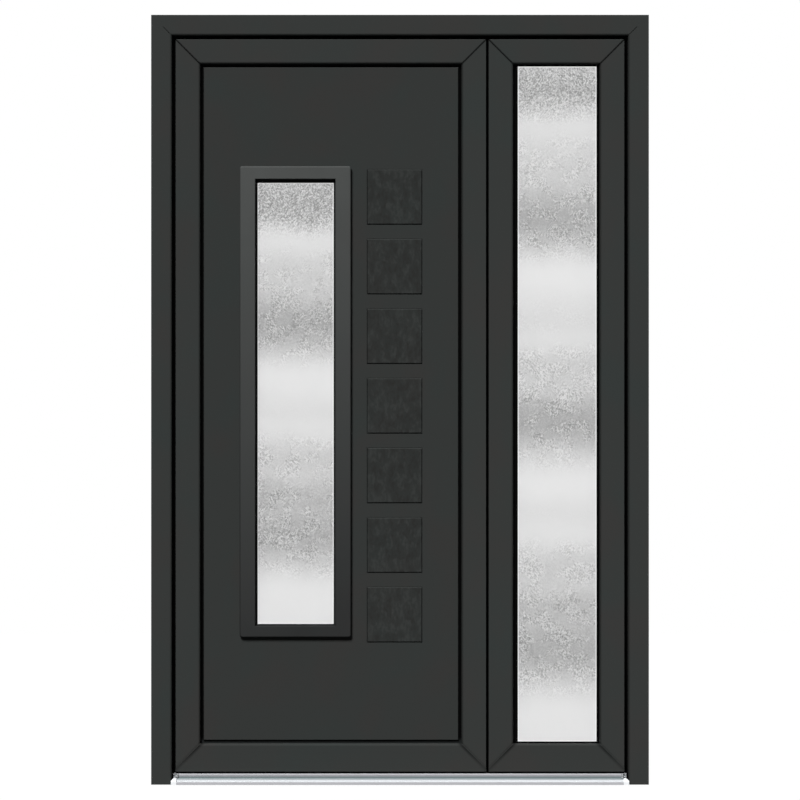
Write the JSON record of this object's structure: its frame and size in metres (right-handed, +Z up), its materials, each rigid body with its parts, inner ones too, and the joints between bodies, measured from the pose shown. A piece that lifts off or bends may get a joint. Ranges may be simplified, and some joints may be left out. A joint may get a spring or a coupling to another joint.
{
  "type": "two-leaf pvc entrance door",
  "caption": "Two-leaf PVC entrance door in one rebated frame: panelled main leaf with a tall pane and raised square tiles, narrow glazed second leaf, aluminium threshold.",
  "frame": {"origin": "middle of the threshold's underside, halfway through the frame's depth", "axes": "+X to the right as seen from outside, +Y into the building, +Z up"},
  "size_m": [1.39, 0.103, 2.15],
  "materials": {
    "pvc_frame": "satin anthracite grey foil on PVC profile",
    "pvc_panel": "satin anthracite grey foil with a fine grain",
    "moulding": "satin anthracite grey",
    "tile": "satin, slightly mottled",
    "black_rubber": "matte black",
    "obscure_glass": "obscure, finely granular",
    "threshold_aluminium": "satin anodised",
    "end_cap_plastic": "satin white",
    "hinge_metal": "satin anthracite grey"
  },
  "bodies": {
    "frame": {"frame_left_jamb": "pvc_frame", "frame_right_jamb": "pvc_frame", "frame_head": "pvc_frame", "threshold": "threshold_aluminium", "threshold_left_cap": "end_cap_plastic", "threshold_right_cap": "end_cap_plastic", "main_hinge_frame_halves": "hinge_metal", "second_hinge_frame_halves": "hinge_metal"},
    "main_leaf": {"main_hinge_stile": "pvc_frame", "main_meeting_stile": "pvc_frame", "main_top_rail": "pvc_frame", "main_bottom_rail": "pvc_frame", "main_panel": "pvc_panel", "main_panel_gasket": "black_rubber", "main_glass": "obscure_glass", "main_glass_gasket": "black_rubber", "glazing_moulding_outside": "moulding", "glazing_moulding_inside": "moulding", "square_tile_1": "tile", "square_tile_2": "tile", "square_tile_3": "tile", "square_tile_4": "tile", "square_tile_5": "tile", "square_tile_6": "tile", "square_tile_7": "tile", "main_left_bead": "pvc_frame", "main_right_bead": "pvc_frame", "main_top_bead": "pvc_frame", "main_bottom_bead": "pvc_frame", "main_seal": "black_rubber", "main_hinge_leaf_halves": "hinge_metal"},
    "second_leaf": {"second_hinge_stile": "pvc_frame", "second_meeting_stile": "pvc_frame", "second_top_rail": "pvc_frame", "second_bottom_rail": "pvc_frame", "second_glass": "obscure_glass", "second_glass_gasket": "black_rubber", "second_left_bead": "pvc_frame", "second_right_bead": "pvc_frame", "second_top_bead": "pvc_frame", "second_bottom_bead": "pvc_frame", "second_seal": "black_rubber", "second_hinge_leaf_halves": "hinge_metal"}
  },
  "joints": [
    {"name": "main_leaf_swing", "type": "hinge", "parent": "frame", "child": "main_leaf", "pos_m": [-0.646, 0.047, 0], "axis": [0, 0, 1], "range_deg": [0, 90]},
    {"name": "second_leaf_swing", "type": "hinge", "parent": "frame", "child": "second_leaf", "pos_m": [0.646, 0.047, 0], "axis": [0, 0, -1], "range_deg": [0, 90]}
  ]
}
